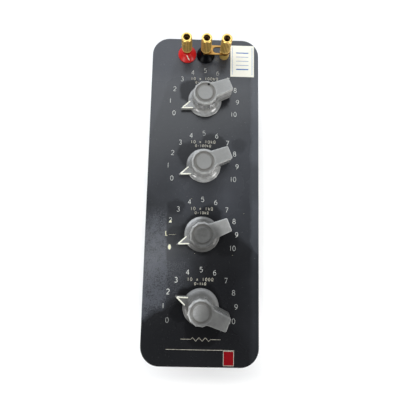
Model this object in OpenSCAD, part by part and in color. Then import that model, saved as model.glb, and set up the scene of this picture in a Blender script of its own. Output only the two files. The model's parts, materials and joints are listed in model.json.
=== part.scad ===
// Decade resistance box with four rotary dials, three binding posts and a sliding shorting link.
// Millimetres. Z is up, the feet stand on Z = 0, and the binding posts are at the +Y end.

/* [Panel and case] */
// panel width across X
panel_w = 109.5; // [100:0.5:125]
// panel length along Y
panel_l = 321; // [315:0.5:335]
// panel thickness
panel_t = 3.2; // [2.6:0.1:4]
// corner radius of the panel
panel_r = 17.5; // [12:0.5:22]
// height of the panel's top face above the ground
panel_top = 96.5; // [90:0.5:130]
// how far the panel overhangs the case on each side
case_inset = 1.2; // [0.5:0.1:3]
// wall thickness of the sheet metal case
case_wall = 1.6; // [1.2:0.1:3]
// thickness of the case floor
case_floor = 2; // [1.5:0.1:4]
// radius of the case's inner bottom pillars
pillar_r = 5; // [4:0.25:6]
// distance from the case's outer wall to a pillar's centre
pillar_in = 12; // [10:0.5:15]
// foot radius
foot_r = 8; // [7:0.25:10]
// foot height
foot_h = 8; // [7:0.25:12]
// shank radius of a case screw
screw_r = 1.95; // [1.5:0.05:2.2]
// height of a case screw's head
head_h = 2.5; // [2:0.1:3]
// how deep a case screw's head sits in its foot
head_in = 2; // [1:0.1:3]
// how far a case screw reaches into its pillar
screw_grip = 18; // [10:0.5:24]

/* [Dials] */
// distance between neighbouring dials
dial_pitch = 66.65; // [62:0.05:68]
// Y of the second dial from the posts
dial_2_y = 26.3; // [24:0.1:28]
// angle between two neighbouring switch positions
step_angle = 22.5; // [22.5]
// position that each dial shows, from the posts downwards
shown = [0, 0, 0, 2];

/* [Knob] */
// outer radius of the knob's skirt
skirt_r = 16.7; // [15:0.1:17.5]
// thickness of the skirt's rim
skirt_t = 1.6; // [1.2:0.1:2.5]
// gap between the skirt and the panel
skirt_gap = 0.8; // [0.5:0.1:1.5]
// radius of the round hub
hub_r = 12; // [11.5:0.1:13]
// height of the knob's top above the panel
knob_h = 22.3; // [20:0.1:26]
// radius of the round edge around the hub's top
edge_r = 1.4; // [0.4:0.1:1.8]
// radius of the concave flare from the hub to the skirt
flare_r = 5.2; // [4.8:0.1:6]
// outer radius of the ring groove on the knob's top
groove_out = 9.6; // [8.5:0.1:10]
// inner radius of the ring groove
groove_in = 7.1; // [6:0.1:7.8]
// depth of the ring groove
groove_d = 0.8; // [0.5:0.1:2]
// distance of the finger bar's end from the axis
bar_end = 26; // [22:0.1:28]
// half the bar's width at its end
bar_half = 6.15; // [5:0.05:7]
// half the bar's width at the axis
bar_root = 7.8; // [6.5:0.1:9]
// cut at the corners of the bar's end
bar_cut = 1.2; // [0.6:0.1:2]
// height of the bar's underside above the panel
bar_low = 4; // [3:0.1:8]
// distance of the pointer's tip from the axis
tip_r = 25.7; // [23:0.1:27]
// half the width of the pointer's blunt tip
tip_half = 0.3; // [0.2:0.1:1]
// half the pointer's width where it leaves the hub
pointer_half = 5.3; // [3:0.1:6.5]
// thickness of the pointer
pointer_t = 4.7; // [2:0.1:6]

/* [Switch] */
// shaft radius
shaft_r = 3.175; // [2.9:0.005:3.4]
// radial clearance of the shaft in its bushing
shaft_fit = 0.05; // [0.02:0.01:0.09]
// radius of the bushing's threaded neck
bush_r = 4.75; // [4.4:0.05:5.2]
// radius of the bushing's flange under the panel
bush_flange = 8; // [7:0.25:9]
// thickness of the bushing's flange
bush_t = 3; // [2:0.25:4]
// thickness of the hexagon nut on the panel
nut_t = 3; // [2.5:0.1:3.5]
// half the distance between the flats of the panel nut
nut_flat = 7; // [6.5:0.1:7.4]
// number of notches around the detent wheel
notches = 16; // [16]
// radius of the detent wheel
wheel_r = 14; // [13:0.25:15]
// thickness of the detent wheel and the contact arm
plate_t = 3; // [2:0.25:3.5]
// radius of the contact arm's hub
arm_hub = 6.5; // [6:0.1:6.9]
// radius of the contact arm's button
button_r = 2.5; // [2:0.1:2.8]
// how far the button stands below the arm
button_h = 1.5; // [1:0.1:2]
// radius of a switch deck
deck_r = 28; // [27:0.25:29]
// thickness of a switch deck
deck_t = 3; // [2:0.25:4]
// radius of the ring of contact studs
stud_ring = 19.5; // [18.5:0.25:20]
// radius of one contact stud
stud_r = 1.9; // [1.5:0.1:2.2]
// how far a contact stud stands above the deck
stud_up = 1.5; // [1:0.1:2]
// how far a contact stud reaches below the deck
stud_down = 3; // [2.5:0.25:4]
// gap between parts that pass each other
run_gap = 0.4; // [0.3:0.05:0.6]
// height of a wound resistor card
card_h = 26; // [20:0.5:32]
// width of a card
card_w = 14; // [10:0.5:15]
// thickness of a card
card_t = 1.5; // [1:0.1:2]
// distance of a card's inner edge from the axis
card_in = 11; // [9.5:0.25:12]
// wire radius
wire_r = 0.8; // [0.6:0.05:1]

/* [Binding posts] */
// distance between neighbouring posts
post_pitch = 19.05; // [18.8:0.05:20]
// distance of the row of posts from the panel's end
post_in = 17.3; // [15:0.1:20]
// radius of an insulator at the panel
insulator_r = 9.25; // [8.5:0.05:9.35]
// radius of an insulator at its neck
neck_r = 5.2; // [4.6:0.1:6]
// height of the insulators and of the ground collar
seat_h = 8.4; // [6:0.1:9]
// radius of the ground collar
collar_r = 4.9; // [4.5:0.1:5.5]
// radius of a threaded stud
bolt_r = 3; // [2.9:0.05:3.1]
// how far a stud reaches below the panel
bolt_reach = 20; // [18:0.5:24]
// thickness of the insulator's flange under the panel
low_t = 3; // [2:0.25:4]
// height of a solder lug above the stud's lower end
lug_up = 7; // [5:0.5:8]
// thickness of a solder lug
lug_t = 1; // [0.8:0.1:1.5]
// length of a solder lug's tail
lug_l = 13.5; // [12.5:0.5:15]
// radius of a terminal nut's corners
term_r = 6; // [5.5:0.1:6.5]
// radial clearance of a thumb nut on its stud
nut_fit = 0.05; // [0.02:0.01:0.09]
// outer radius of a thumb nut
thumb_r = 5.05; // [4.8:0.05:5.4]
// length of a thumb nut
thumb_h = 19.7; // [18:0.1:22]
// chamfer at both ends of a thumb nut
thumb_cut = 0.8; // [0.5:0.1:1.2]
// number of flutes around a thumb nut
flutes = 20; // [14:1:22]
// radius of the plug socket in a stud
jack_r = 2.05; // [2:0.01:2.1]
// depth of the plug socket
jack_d = 18; // [14:0.5:20]
// thickness of the shorting link
link_t = 1.6; // [1.2:0.1:2]
// half the width of the shorting link
link_half = 4.9; // [4.5:0.1:5.5]
// radius of the link's eye at the ground post
link_eye = 5.4; // [5:0.1:6]
// how far the link's prongs reach past the black stud's axis
fork_l = 2.6; // [2:0.1:3]
// travel of the shorting link
link_travel = 9; // [8.8:0.1:9.5]
// clearance of the link's slots on the studs
link_fit = 0.2; // [0.1:0.05:0.3]
// lift of the red thumb nut above the other two
red_lift = 0.3; // [0:0.1:2]

/* [Paper label] */
// label width
label_w = 24.3; // [20:0.1:26]
// label length
label_l = 34.2; // [30:0.1:36]
// label thickness
label_t = 0.25; // [0.2:0.05:0.5]
// distance of the label from the panel's side
label_in = 4.6; // [4:0.1:8]
// distance of the label from the panel's end
label_down = 5.8; // [5:0.1:10]

/* [Hidden] */
$fn = 40;
panel_low = panel_top - panel_t;
case_w = panel_w - 2 * case_inset;
case_l = panel_l - 2 * case_inset;
case_r = panel_r - case_inset;
pillar_x = case_w / 2 - pillar_in;
pillar_y = case_l / 2 - pillar_in;
dial_y = [for (i = [0:3]) dial_2_y + (1 - i) * dial_pitch];
flange_low = panel_low - bush_t;
wheel_top = flange_low - run_gap;
arm_top = wheel_top - plate_t - 1;
stud_top = arm_top - plate_t - button_h - run_gap;
deck_top = stud_top - stud_up;
deck_low = deck_top - deck_t;
wire_z = deck_low - card_h - 4;
return_z = wire_z - 5;
bolt_low = panel_low - bolt_reach;
bolt_top = panel_top + seat_h + thumb_h;
link_z = panel_top + seat_h + run_gap;
thumb_z = link_z + link_t + run_gap;
pin_r = 0.8;
ring_pin = 5.75;
post_y = panel_l / 2 - post_in;
label_x = panel_w / 2 - label_in - label_w / 2;
label_y = panel_l / 2 - label_down - label_l / 2;
floor_top = foot_h + case_floor;
head_r = 2 * screw_r - 0.1;
seat_z = head_in + head_h;
nut_corner = nut_flat / cos(30);
lug_z = bolt_low + lug_up;

// outline with four round corners
module round_box(w, l, r) {
    union() {
        square([w - 2 * r, l], center = true);
        square([w, l - 2 * r], center = true);
        for (x = [-1, 1], y = [-1, 1]) translate([x * (w / 2 - r), y * (l / 2 - r)]) circle(r);
    }
}

// places children at the four corner pillars
module at_pillars() {
    for (x = [-1, 1], y = [-1, 1]) translate([x * pillar_x, y * pillar_y, 0]) children();
}

// places children at one dial, turned so that +X is the direction of the pointer
module at_dial(i) {
    translate([0, dial_y[i], 0]) rotate([0, 0, 202.5 - step_angle * shown[i]]) children();
}

// direction of switch position k
function stud_angle(k) = 202.5 - step_angle * k;

// upright tube with its bottom at z
module tube(z, h, r, bore) {
    translate([0, 0, z]) difference() {
        cylinder(h = h, r = r);
        translate([0, 0, -1]) cylinder(h = h + 2, r = bore);
    }
}

// sheet metal case, open at the top
module case_shell() {
    color([0.24, 0.25, 0.26]) difference() {
        translate([0, 0, foot_h]) linear_extrude(panel_low - foot_h) round_box(case_w, case_l, case_r);
        translate([0, 0, floor_top]) linear_extrude(panel_low - foot_h)
            round_box(case_w - 2 * case_wall, case_l - 2 * case_wall, case_r - case_wall);
        at_pillars() cylinder(h = floor_top + 1, r = screw_r + 0.25);
    }
}

// panel with holes for the bushings and the posts
module front_panel() {
    color([0.16, 0.165, 0.17]) difference() {
        translate([0, 0, panel_low]) linear_extrude(panel_t) round_box(panel_w, panel_l, panel_r);
        for (i = [0:3]) translate([0, dial_y[i], panel_low - 1]) cylinder(h = panel_t + 2, r = bush_r + 0.1);
        for (k = [-1, 0]) translate([k * post_pitch, post_y, panel_low - 1])
            cylinder(h = panel_t + 2, r = neck_r);
        translate([post_pitch, post_y, panel_low - 1]) cylinder(h = panel_t + 2, r = bolt_r + 0.1);
    }
}

// thin paper label on the panel
module paper_label() {
    color([0.93, 0.93, 0.87]) translate([label_x, label_y, panel_top + label_t / 2])
        cube([label_w, label_l, label_t], center = true);
}

// tapped pillars from the case floor to the panel
module corner_pillars() {
    color([0.7, 0.71, 0.72]) at_pillars() difference() {
        translate([0, 0, floor_top]) cylinder(h = panel_low - floor_top, r = pillar_r, $fn = 24);
        translate([0, 0, floor_top - 1]) cylinder(h = screw_grip + 3, r = screw_r + 0.05, $fn = 24);
    }
}

// screws through the feet into the pillars
module case_screws() {
    color([0.6, 0.61, 0.63]) at_pillars() union() {
        translate([0, 0, head_in]) cylinder(h = head_h, r = head_r, $fn = 24);
        translate([0, 0, head_in]) cylinder(h = floor_top + screw_grip - head_in, r = screw_r, $fn = 24);
    }
}

// round feet with a recess for the screw's head
module rubber_feet() {
    color([0.05, 0.05, 0.05]) at_pillars() difference() {
        cylinder(h = foot_h, r = foot_r, $fn = 32);
        translate([0, 0, -1]) cylinder(h = seat_z + 1, r = head_r + 0.7, $fn = 24);
        cylinder(h = foot_h + 1, r = screw_r + 0.2, $fn = 24);
    }
}

// flanged bushings that carry the shafts
module shaft_bushings() {
    color([0.78, 0.66, 0.36]) for (i = [0:3]) translate([0, dial_y[i], 0]) difference() {
        union() {
            translate([0, 0, flange_low]) cylinder(h = bush_t, r = bush_flange);
            translate([0, 0, flange_low]) cylinder(h = panel_top + nut_t + 1.5 - flange_low, r = bush_r);
        }
        translate([0, 0, flange_low - 1]) cylinder(h = 30, r = shaft_r + shaft_fit);
    }
}

// hexagon nuts that clamp the bushings, inside the knobs
module panel_nuts() {
    color([0.72, 0.72, 0.73]) for (i = [0:3]) translate([0, dial_y[i], panel_top]) difference() {
        cylinder(h = nut_t, r = nut_corner, $fn = 6);
        translate([0, 0, -1]) cylinder(h = nut_t + 2, r = bush_r + 0.05);
    }
}

// moulded knob with a flared skirt, a finger bar and a pointer
module knob(i) {
    color([0.55, 0.55, 0.55]) at_dial(i) translate([0, 0, panel_top]) difference() {
        union() {
            rotate_extrude() knob_profile();
            translate([0, 0, bar_low]) linear_extrude(knob_h - 0.3 - bar_low)
                bar_outline();
            pointer();
        }
        translate([0, 0, -1]) cylinder(h = 1 + nut_t + 2.5, r = nut_corner + 1.5);
        cylinder(h = knob_h - 5, r = shaft_r + 0.02);
        for (a = [90, -90]) rotate([0, 0, a]) translate([0, 0, knob_h / 2]) rotate([0, 90, 0])
            cylinder(h = skirt_r, r = screw_r + 0.15, $fn = 24);
    }
}

// finger bar seen from above, with its end's corners cut
module bar_outline() {
    side = bar_half + (bar_root - bar_half) * bar_cut / bar_end;
    polygon([[0, -bar_root], [0, bar_root], [bar_cut - bar_end, side], [-bar_end, bar_half - bar_cut],
        [-bar_end, bar_cut - bar_half], [bar_cut - bar_end, -side]]);
}

// half section of the knob's round body
module knob_profile() {
    difference() {
        union() {
            translate([0, skirt_gap]) square([hub_r, knob_h - edge_r - skirt_gap]);
            translate([0, skirt_gap]) square([hub_r - edge_r, knob_h - skirt_gap]);
            translate([hub_r - edge_r, knob_h - edge_r]) circle(edge_r);
            translate([0, skirt_gap]) square([skirt_r, skirt_t + flare_r]);
        }
        translate([hub_r + flare_r, skirt_gap + skirt_t + flare_r]) circle(flare_r);
        translate([hub_r + flare_r, skirt_gap + skirt_t + 0.4]) square([flare_r, 2 * flare_r]);
        translate([groove_in, knob_h - groove_d]) square([groove_out - groove_in, groove_d + 1]);
    }
}

// thick arrow with a flat top that stands out from the hub and the skirt
module pointer() {
    root = hub_r - 2;
    root_half = pointer_half + (pointer_half - tip_half) * (hub_r - root) / (tip_r - hub_r);
    translate([0, 0, skirt_gap]) linear_extrude(pointer_t)
        polygon([[root, -root_half], [root, root_half], [tip_r, tip_half], [tip_r, -tip_half]]);
}

// two grub screws that lock a knob on its shaft
module set_screws(i) {
    color([0.45, 0.46, 0.47]) at_dial(i) for (a = [90, -90]) rotate([0, 0, a])
        translate([shaft_r, 0, panel_top + knob_h / 2]) rotate([0, 90, 0])
            cylinder(h = 6, r = screw_r + 0.1, $fn = 24);
}

// steel shaft of one dial
module shaft(i) {
    color([0.74, 0.75, 0.76]) at_dial(i)
        translate([0, 0, deck_low - 2]) cylinder(h = panel_top + knob_h - 6 - deck_low + 2, r = shaft_r);
}

// notched wheel that gives the clicks
module detent_wheel(i) {
    color([0.75, 0.63, 0.35]) at_dial(i) translate([0, 0, wheel_top - plate_t]) difference() {
        cylinder(h = plate_t, r = wheel_r, $fn = 64);
        translate([0, 0, -1]) cylinder(h = plate_t + 2, r = shaft_r + 0.02);
        for (k = [0:notches - 1]) rotate([0, 0, k * 360 / notches]) translate([wheel_r + 0.6, 0, -1])
            cylinder(h = plate_t + 2, r = 1.8, $fn = 16);
    }
}

// arm that carries the moving contact over the studs
module contact_arm(i) {
    color([0.79, 0.58, 0.36]) at_dial(i) difference() {
        union() {
            translate([0, 0, arm_top - plate_t - button_h]) cylinder(h = plate_t + button_h, r = arm_hub);
            translate([0, -button_r, arm_top - plate_t]) cube([stud_ring, 2 * button_r, plate_t]);
            translate([stud_ring, 0, arm_top - plate_t - button_h])
                cylinder(h = plate_t + button_h, r = button_r, $fn = 24);
        }
        translate([0, 0, arm_top - 10]) cylinder(h = 20, r = shaft_r + 0.02);
    }
}

// leaf spring under the panel whose nose rests beside the wheel
module detent_spring(i) {
    color([0.72, 0.6, 0.4]) translate([0, dial_y[i], wheel_top - plate_t + 0.2]) union() {
        translate([wheel_r + run_gap + 1.5, 0, 0]) cylinder(h = plate_t - 0.4, r = 1.5, $fn = 24);
        translate([wheel_r + run_gap + 2.6, -14, 0]) cube([0.8, 16, plate_t - 0.4]);
        translate([wheel_r + run_gap + 2.6, -16, 0]) cube([6, 2.5, panel_low - wheel_top + plate_t - 0.2]);
    }
}

// insulating plate that carries the contact studs
module switch_deck(i) {
    color([0.42, 0.26, 0.14]) translate([0, dial_y[i], deck_low]) difference() {
        cylinder(h = deck_t, r = deck_r, $fn = 64);
        translate([0, 0, -1]) cylinder(h = deck_t + 2, r = shaft_r + 0.8);
        translate([0, ring_pin, -1]) cylinder(h = deck_t + 2, r = pin_r + 0.05, $fn = 16);
        for (k = [0:10]) rotate([0, 0, stud_angle(k)]) translate([stud_ring, 0, -1])
            cylinder(h = deck_t + 2, r = stud_r + 0.02, $fn = 16);
    }
}

// spacers that hang the decks from the panel
module deck_pillars() {
    color([0.72, 0.73, 0.74]) for (i = [0:3], a = [25, 155, 270]) translate([0, dial_y[i], 0])
        rotate([0, 0, a]) translate([deck_r - 3.5, 0, deck_top])
            cylinder(h = panel_low - deck_top, r = 2.5, $fn = 16);
}

// fixed contacts, eleven on each deck
module contact_studs() {
    color([0.8, 0.68, 0.4]) for (i = [0:3], k = [0:10]) translate([0, dial_y[i], 0])
        rotate([0, 0, stud_angle(k)]) translate([stud_ring, 0, deck_low - stud_down])
            cylinder(h = stud_down + deck_t + stud_up, r = stud_r, $fn = 16);
}

// rings that take the current from the contact arms, with a pin through each deck
module collector_rings() {
    color([0.8, 0.66, 0.38]) for (i = [0:3]) translate([0, dial_y[i], 0]) union() {
        tube(deck_top, stud_up, 7, shaft_r + 0.8);
        translate([0, ring_pin, deck_low - stud_down])
            cylinder(h = stud_down + deck_t + 0.5, r = pin_r, $fn = 16);
    }
}

// ten wound cards under one deck
module resistor_cards(i) {
    color([0.62, 0.5, 0.3]) translate([0, dial_y[i], 0]) for (k = [0:9]) rotate([0, 0, stud_angle(k + 0.5)])
        translate([card_in, -card_t / 2, deck_low - card_h]) cube([card_w, card_t, card_h]);
}

// wire with a drop at each end, between two points given as [x, y, z]
module wire(a, b, z) {
    run = [b[0] - a[0], b[1] - a[1]];
    union() {
        translate([a[0], a[1], z]) cylinder(h = a[2] - z, r = wire_r, $fn = 16);
        translate([b[0], b[1], z]) cylinder(h = b[2] - z, r = wire_r, $fn = 16);
        translate([a[0], a[1], z]) sphere(wire_r, $fn = 16);
        translate([b[0], b[1], z]) sphere(wire_r, $fn = 16);
        translate([a[0], a[1], z]) rotate([0, 0, atan2(run[1], run[0])]) rotate([0, 90, 0])
            cylinder(h = norm(run), r = wire_r, $fn = 16);
    }
}

// lower end of the first stud and of the ring's pin on deck i
function stud_foot(i) = [stud_ring * cos(202.5), dial_y[i] + stud_ring * sin(202.5), deck_low - stud_down];
function pin_foot(i) = [0, dial_y[i] + ring_pin, deck_low - stud_down];
function lug_end(k) = [k * post_pitch, post_y - lug_l + 1.5, lug_z];

// wires that join the decks in series between the posts
module bus_wires() {
    color([0.75, 0.45, 0.25]) {
        wire(lug_end(-1), stud_foot(0), wire_z);
        for (i = [0:2]) wire(pin_foot(i), stud_foot(i + 1), wire_z);
        wire(pin_foot(3), lug_end(0), return_z);
    }
}

// places children at post k, counted from the middle one
module at_post(k) {
    translate([k * post_pitch, post_y, 0]) children();
}

// conical insulator on the panel
module insulator(k) {
    at_post(k) translate([0, 0, panel_top]) rotate_extrude()
        polygon([[bolt_r + 0.05, 0], [insulator_r, 0], [insulator_r, 1.4], [neck_r + 1.2, seat_h - 1.2],
            [neck_r, seat_h], [bolt_r + 0.05, seat_h]]);
}
module red_insulator() {
    color([0.72, 0.1, 0.1]) insulator(-1);
}
module black_insulator() {
    color([0.03, 0.03, 0.04]) insulator(0);
}

// metal collar that grounds the third post to the panel
module ground_collar() {
    color([0.8, 0.64, 0.34]) at_post(1) tube(panel_top, seat_h, collar_r, bolt_r + 0.05);
}

// threaded stud with a plug socket in its upper end
module post_stud(k) {
    color([0.8, 0.64, 0.34]) at_post(k) difference() {
        translate([0, 0, bolt_low]) cylinder(h = bolt_top - bolt_low, r = bolt_r);
        translate([0, 0, bolt_top - jack_d]) cylinder(h = jack_d + 1, r = jack_r);
    }
}
module red_stud() {
    post_stud(-1);
}
module black_stud() {
    post_stud(0);
}
module ground_stud() {
    post_stud(1);
}

// shouldered insulators under the panel
module lower_insulators() {
    color([0.08, 0.08, 0.08]) for (k = [-1, 0]) at_post(k) difference() {
        union() {
            translate([0, 0, panel_low - low_t]) cylinder(h = low_t, r = insulator_r - 1);
            translate([0, 0, panel_low - low_t]) cylinder(h = panel_t + low_t, r = neck_r - 0.05);
        }
        translate([0, 0, panel_low - low_t - 1]) cylinder(h = panel_t + low_t + 2, r = bolt_r + 0.05);
    }
}

// hexagon nuts that clamp the studs from below
module terminal_nuts() {
    color([0.72, 0.72, 0.73]) for (k = [-1:1]) at_post(k)
        translate([0, 0, lug_z + lug_t]) difference() {
            cylinder(h = panel_low - (k == 1 ? 0 : low_t) - lug_z - lug_t, r = term_r, $fn = 6);
            translate([0, 0, -1]) cylinder(h = bolt_reach, r = bolt_r + 0.02);
        }
}

// lugs that take the wires, under the nuts
module solder_lugs() {
    color([0.78, 0.76, 0.7]) for (k = [-1:1]) at_post(k) translate([0, 0, lug_z]) difference() {
        union() {
            cylinder(h = lug_t, r = term_r - 0.5);
            translate([-lug_t, -lug_l, 0]) cube([2 * lug_t, lug_l, lug_t]);
        }
        translate([0, 0, -1]) cylinder(h = lug_t + 2, r = bolt_r + 0.05);
    }
}

// fluted thumb nut that slides on its stud
module thumb_nut(k, lift) {
    color([0.83, 0.67, 0.36]) at_post(k) translate([0, 0, thumb_z + lift]) difference() {
        rotate_extrude() polygon([[bolt_r + nut_fit, 0], [thumb_r - thumb_cut, 0], [thumb_r, thumb_cut],
            [thumb_r, thumb_h - thumb_cut], [thumb_r - thumb_cut, thumb_h], [bolt_r + nut_fit, thumb_h]]);
        for (n = [0:flutes - 1]) rotate([0, 0, n * 360 / flutes]) translate([thumb_r + 0.35, 0, 2 * thumb_cut])
            cylinder(h = thumb_h - 4 * thumb_cut, r = 0.65, $fn = 14);
    }
}
module red_thumb_nut() {
    thumb_nut(-1, red_lift);
}
module black_thumb_nut() {
    thumb_nut(0, 0);
}
module ground_thumb_nut() {
    thumb_nut(1, 0);
}

// link with a fork at the black post and a long slot at the ground post
module shorting_link() {
    slot = bolt_r + link_fit;
    color([0.78, 0.6, 0.33]) translate([0, post_y, link_z]) linear_extrude(link_t) difference() {
        union() {
            translate([-fork_l, -link_half]) square([fork_l + post_pitch, 2 * link_half]);
            translate([post_pitch, 0]) circle(link_eye);
        }
        circle(slot);
        translate([-fork_l - 1, -slot]) square([fork_l + 1, 2 * slot]);
        translate([post_pitch, 0]) circle(slot);
        translate([post_pitch - link_travel, 0]) circle(slot);
        translate([post_pitch - link_travel, -slot]) square([link_travel, 2 * slot]);
    }
}

case_shell();
front_panel();
paper_label();
corner_pillars();
case_screws();
rubber_feet();
shaft_bushings();
panel_nuts();
deck_pillars();
contact_studs();
collector_rings();
bus_wires();
red_insulator();
black_insulator();
ground_collar();
red_stud();
black_stud();
ground_stud();
lower_insulators();
terminal_nuts();
solder_lugs();
red_thumb_nut();
black_thumb_nut();
ground_thumb_nut();
shorting_link();
knob(0);  // knob_1
set_screws(0);  // set_screws_1
shaft(0);  // shaft_1
detent_wheel(0);  // detent_wheel_1
contact_arm(0);  // contact_arm_1
detent_spring(0);  // detent_spring_1
switch_deck(0);  // switch_deck_1
resistor_cards(0);  // resistor_cards_1
knob(1);  // knob_2
set_screws(1);  // set_screws_2
shaft(1);  // shaft_2
detent_wheel(1);  // detent_wheel_2
contact_arm(1);  // contact_arm_2
detent_spring(1);  // detent_spring_2
switch_deck(1);  // switch_deck_2
resistor_cards(1);  // resistor_cards_2
knob(2);  // knob_3
set_screws(2);  // set_screws_3
shaft(2);  // shaft_3
detent_wheel(2);  // detent_wheel_3
contact_arm(2);  // contact_arm_3
detent_spring(2);  // detent_spring_3
switch_deck(2);  // switch_deck_3
resistor_cards(2);  // resistor_cards_3
knob(3);  // knob_4
set_screws(3);  // set_screws_4
shaft(3);  // shaft_4
detent_wheel(3);  // detent_wheel_4
contact_arm(3);  // contact_arm_4
detent_spring(3);  // detent_spring_4
switch_deck(3);  // switch_deck_4
resistor_cards(3);  // resistor_cards_4
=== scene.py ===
import json
from math import prod
import bpy
import bmesh
import numpy as np
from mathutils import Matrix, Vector


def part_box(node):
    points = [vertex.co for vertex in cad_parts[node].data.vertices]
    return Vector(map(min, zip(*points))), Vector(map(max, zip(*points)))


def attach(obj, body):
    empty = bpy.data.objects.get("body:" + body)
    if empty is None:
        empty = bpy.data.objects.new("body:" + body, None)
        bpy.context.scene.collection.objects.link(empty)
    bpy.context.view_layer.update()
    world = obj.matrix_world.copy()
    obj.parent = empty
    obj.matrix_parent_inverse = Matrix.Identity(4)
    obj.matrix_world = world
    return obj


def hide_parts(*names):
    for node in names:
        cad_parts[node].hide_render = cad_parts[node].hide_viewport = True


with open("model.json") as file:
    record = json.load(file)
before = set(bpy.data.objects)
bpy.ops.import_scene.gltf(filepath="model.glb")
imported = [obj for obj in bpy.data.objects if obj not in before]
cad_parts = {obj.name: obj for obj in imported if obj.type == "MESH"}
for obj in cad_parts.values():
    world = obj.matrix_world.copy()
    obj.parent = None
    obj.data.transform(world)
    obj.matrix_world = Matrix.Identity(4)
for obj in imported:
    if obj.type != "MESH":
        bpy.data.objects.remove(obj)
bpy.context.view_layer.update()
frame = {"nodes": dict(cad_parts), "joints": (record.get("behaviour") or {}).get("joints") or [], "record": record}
nodes = frame["nodes"]
joints = {j["name"]: j for j in frame["joints"]}
mm = 0.001
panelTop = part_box("front_panel")[1].z
dialNames = ["dial_1", "dial_2", "dial_3", "dial_4"]
dialY = [joints[d + "_turn"]["pos_m"][1] for d in dialNames]
dialShown = [0, 0, 0, 2]  # figure that each pointer is at in the photograph
startAngle, stepAngle = 202.5, 22.5  # direction of figure 0, and the turn from one figure to the next
print("frame loaded:", len(nodes), "nodes")


# a shader socket that takes part in Python sums: each operator adds one Math node
class Sock:
    def __init__(self, tree, socket):
        self.tree = tree
        self.socket = socket

    def math(self, operation, other=None, swap=False, clamp=False):
        n = self.tree.nodes.new("ShaderNodeMath")
        n.operation = operation
        n.use_clamp = clamp
        for i, v in enumerate((other, self) if swap else (self, other)):
            if isinstance(v, Sock):
                self.tree.links.new(v.socket, n.inputs[i])
            elif v is not None:
                n.inputs[i].default_value = v
        return Sock(self.tree, n.outputs[0])

    def __add__(self, o):
        return self.math("ADD", o)

    def __mul__(self, o):
        return self.math("MULTIPLY", o)

    def __sub__(self, o):
        return self.math("SUBTRACT", o)

    def __rsub__(self, o):
        return self.math("SUBTRACT", o, swap=True)

    def __pow__(self, o):
        return self.math("POWER", o)

    def clamped(self):
        return self.math("ADD", 0.0, clamp=True)

    __radd__ = __add__
    __rmul__ = __mul__


# one tree: every node but Math comes from node(), and the methods after it are short names for some
class Nodes:
    def __init__(self, tree):
        self.tree = tree

    def put(self, socket, value):  # a link, a colour or a plain value
        if isinstance(value, Sock):
            self.tree.links.new(value.socket, socket)
        elif socket.type == "RGBA":
            socket.default_value = (*value, 1.0)
        else:
            socket.default_value = value

    def node(self, kind, settings=None, values=None, out=0):
        n = self.tree.nodes.new(kind)
        for key, value in (settings or {}).items():
            if key == "stops":  # places and colours of a ramp
                ramp = n.color_ramp.elements
                while len(ramp) < len(value):
                    ramp.new(0.5)
                for stop, (at, colour) in zip(ramp, value):
                    stop.position = at
                    stop.color = (*colour, 1.0)
            else:
                setattr(n, key, value)
        for key, value in (values or {}).items():
            self.put(n.inputs[key], value)
        return Sock(self.tree, n.outputs[out])

    def place(self):  # position on the object, in metres
        return self.node("ShaderNodeTexCoord", out="Object")

    def axis(self, place, letter):
        return self.node("ShaderNodeSeparateXYZ", {}, {"Vector": place}, out=letter)

    def noise(self, place, scale, detail=3.0, rough=0.5):
        values = {"Vector": place, "Scale": scale, "Detail": detail, "Roughness": rough}
        return self.node("ShaderNodeTexNoise", {}, values)

    def rings(self, place, scale, distortion):  # even bands along z
        values = {"Vector": place, "Scale": scale, "Distortion": distortion}
        return self.node("ShaderNodeTexWave", {"wave_type": "BANDS", "bands_direction": "Z"}, values)

    def mask(self, value, low, high):  # 0 at low and before it, 1 at high and past it
        return self.node("ShaderNodeMapRange", {}, {"Value": value, "From Min": low, "From Max": high})

    def stored(self, name):  # value kept on the mesh's points
        return self.node("ShaderNodeAttribute", {"attribute_name": name}, out="Fac")

    def mix(self, amount, first, second):  # sockets 0, 6 and 7 are the factor and the two colours
        return self.node("ShaderNodeMix", {"data_type": "RGBA"}, {0: amount, 6: first, 7: second}, out=2)

    def bump(self, height, strength, distance):
        values = {"Height": height, "Strength": strength, "Distance": distance}
        return self.node("ShaderNodeBump", {}, values, out="Normal")


# one material, filled by surface(): Base_Color stands for the socket Base Color
class Finish(Nodes):
    def __init__(self, name):
        self.material = bpy.data.materials.new(name)
        self.material.use_nodes = True
        super().__init__(self.material.node_tree)
        self.shader = self.tree.nodes["Principled BSDF"]

    def surface(self, **values):
        for key, value in values.items():
            self.put(self.shader.inputs[key.replace("_", " ")], value)
        return self.material


def tone(r, g, b):
    # a colour as a picture shows it, 0 to 255, made linear by the screen's own curve
    c = np.array([r, g, b]) / 255.0
    return tuple(float(v) for v in np.where(c <= 0.04045, c / 12.92, ((c + 0.055) / 1.055) ** 2.4))


# meshes from arrays
def bow(cx, cy, rx, ry, first, last, n=18):
    # points of an ellipse from one angle to another: the middle plus the radii times cosine and sine
    a = np.radians(np.linspace(first, last, n))
    return np.stack([cx + rx * np.cos(a), cy + ry * np.sin(a)], -1)


def flatPatch(outline, low, high):
    # an outline that runs to the left, made a flat solid between two heights
    p = np.asarray(outline, float)
    n = len(p)
    points = np.concatenate([np.column_stack([p, np.full(n, z)]) for z in (low, high)])
    i = np.arange(n)
    wall = np.stack([i, (i + 1) % n, (i + 1) % n + n, i + n], -1).tolist()
    return points, [list(range(n))[::-1], list(range(n, 2 * n))] + wall


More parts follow.
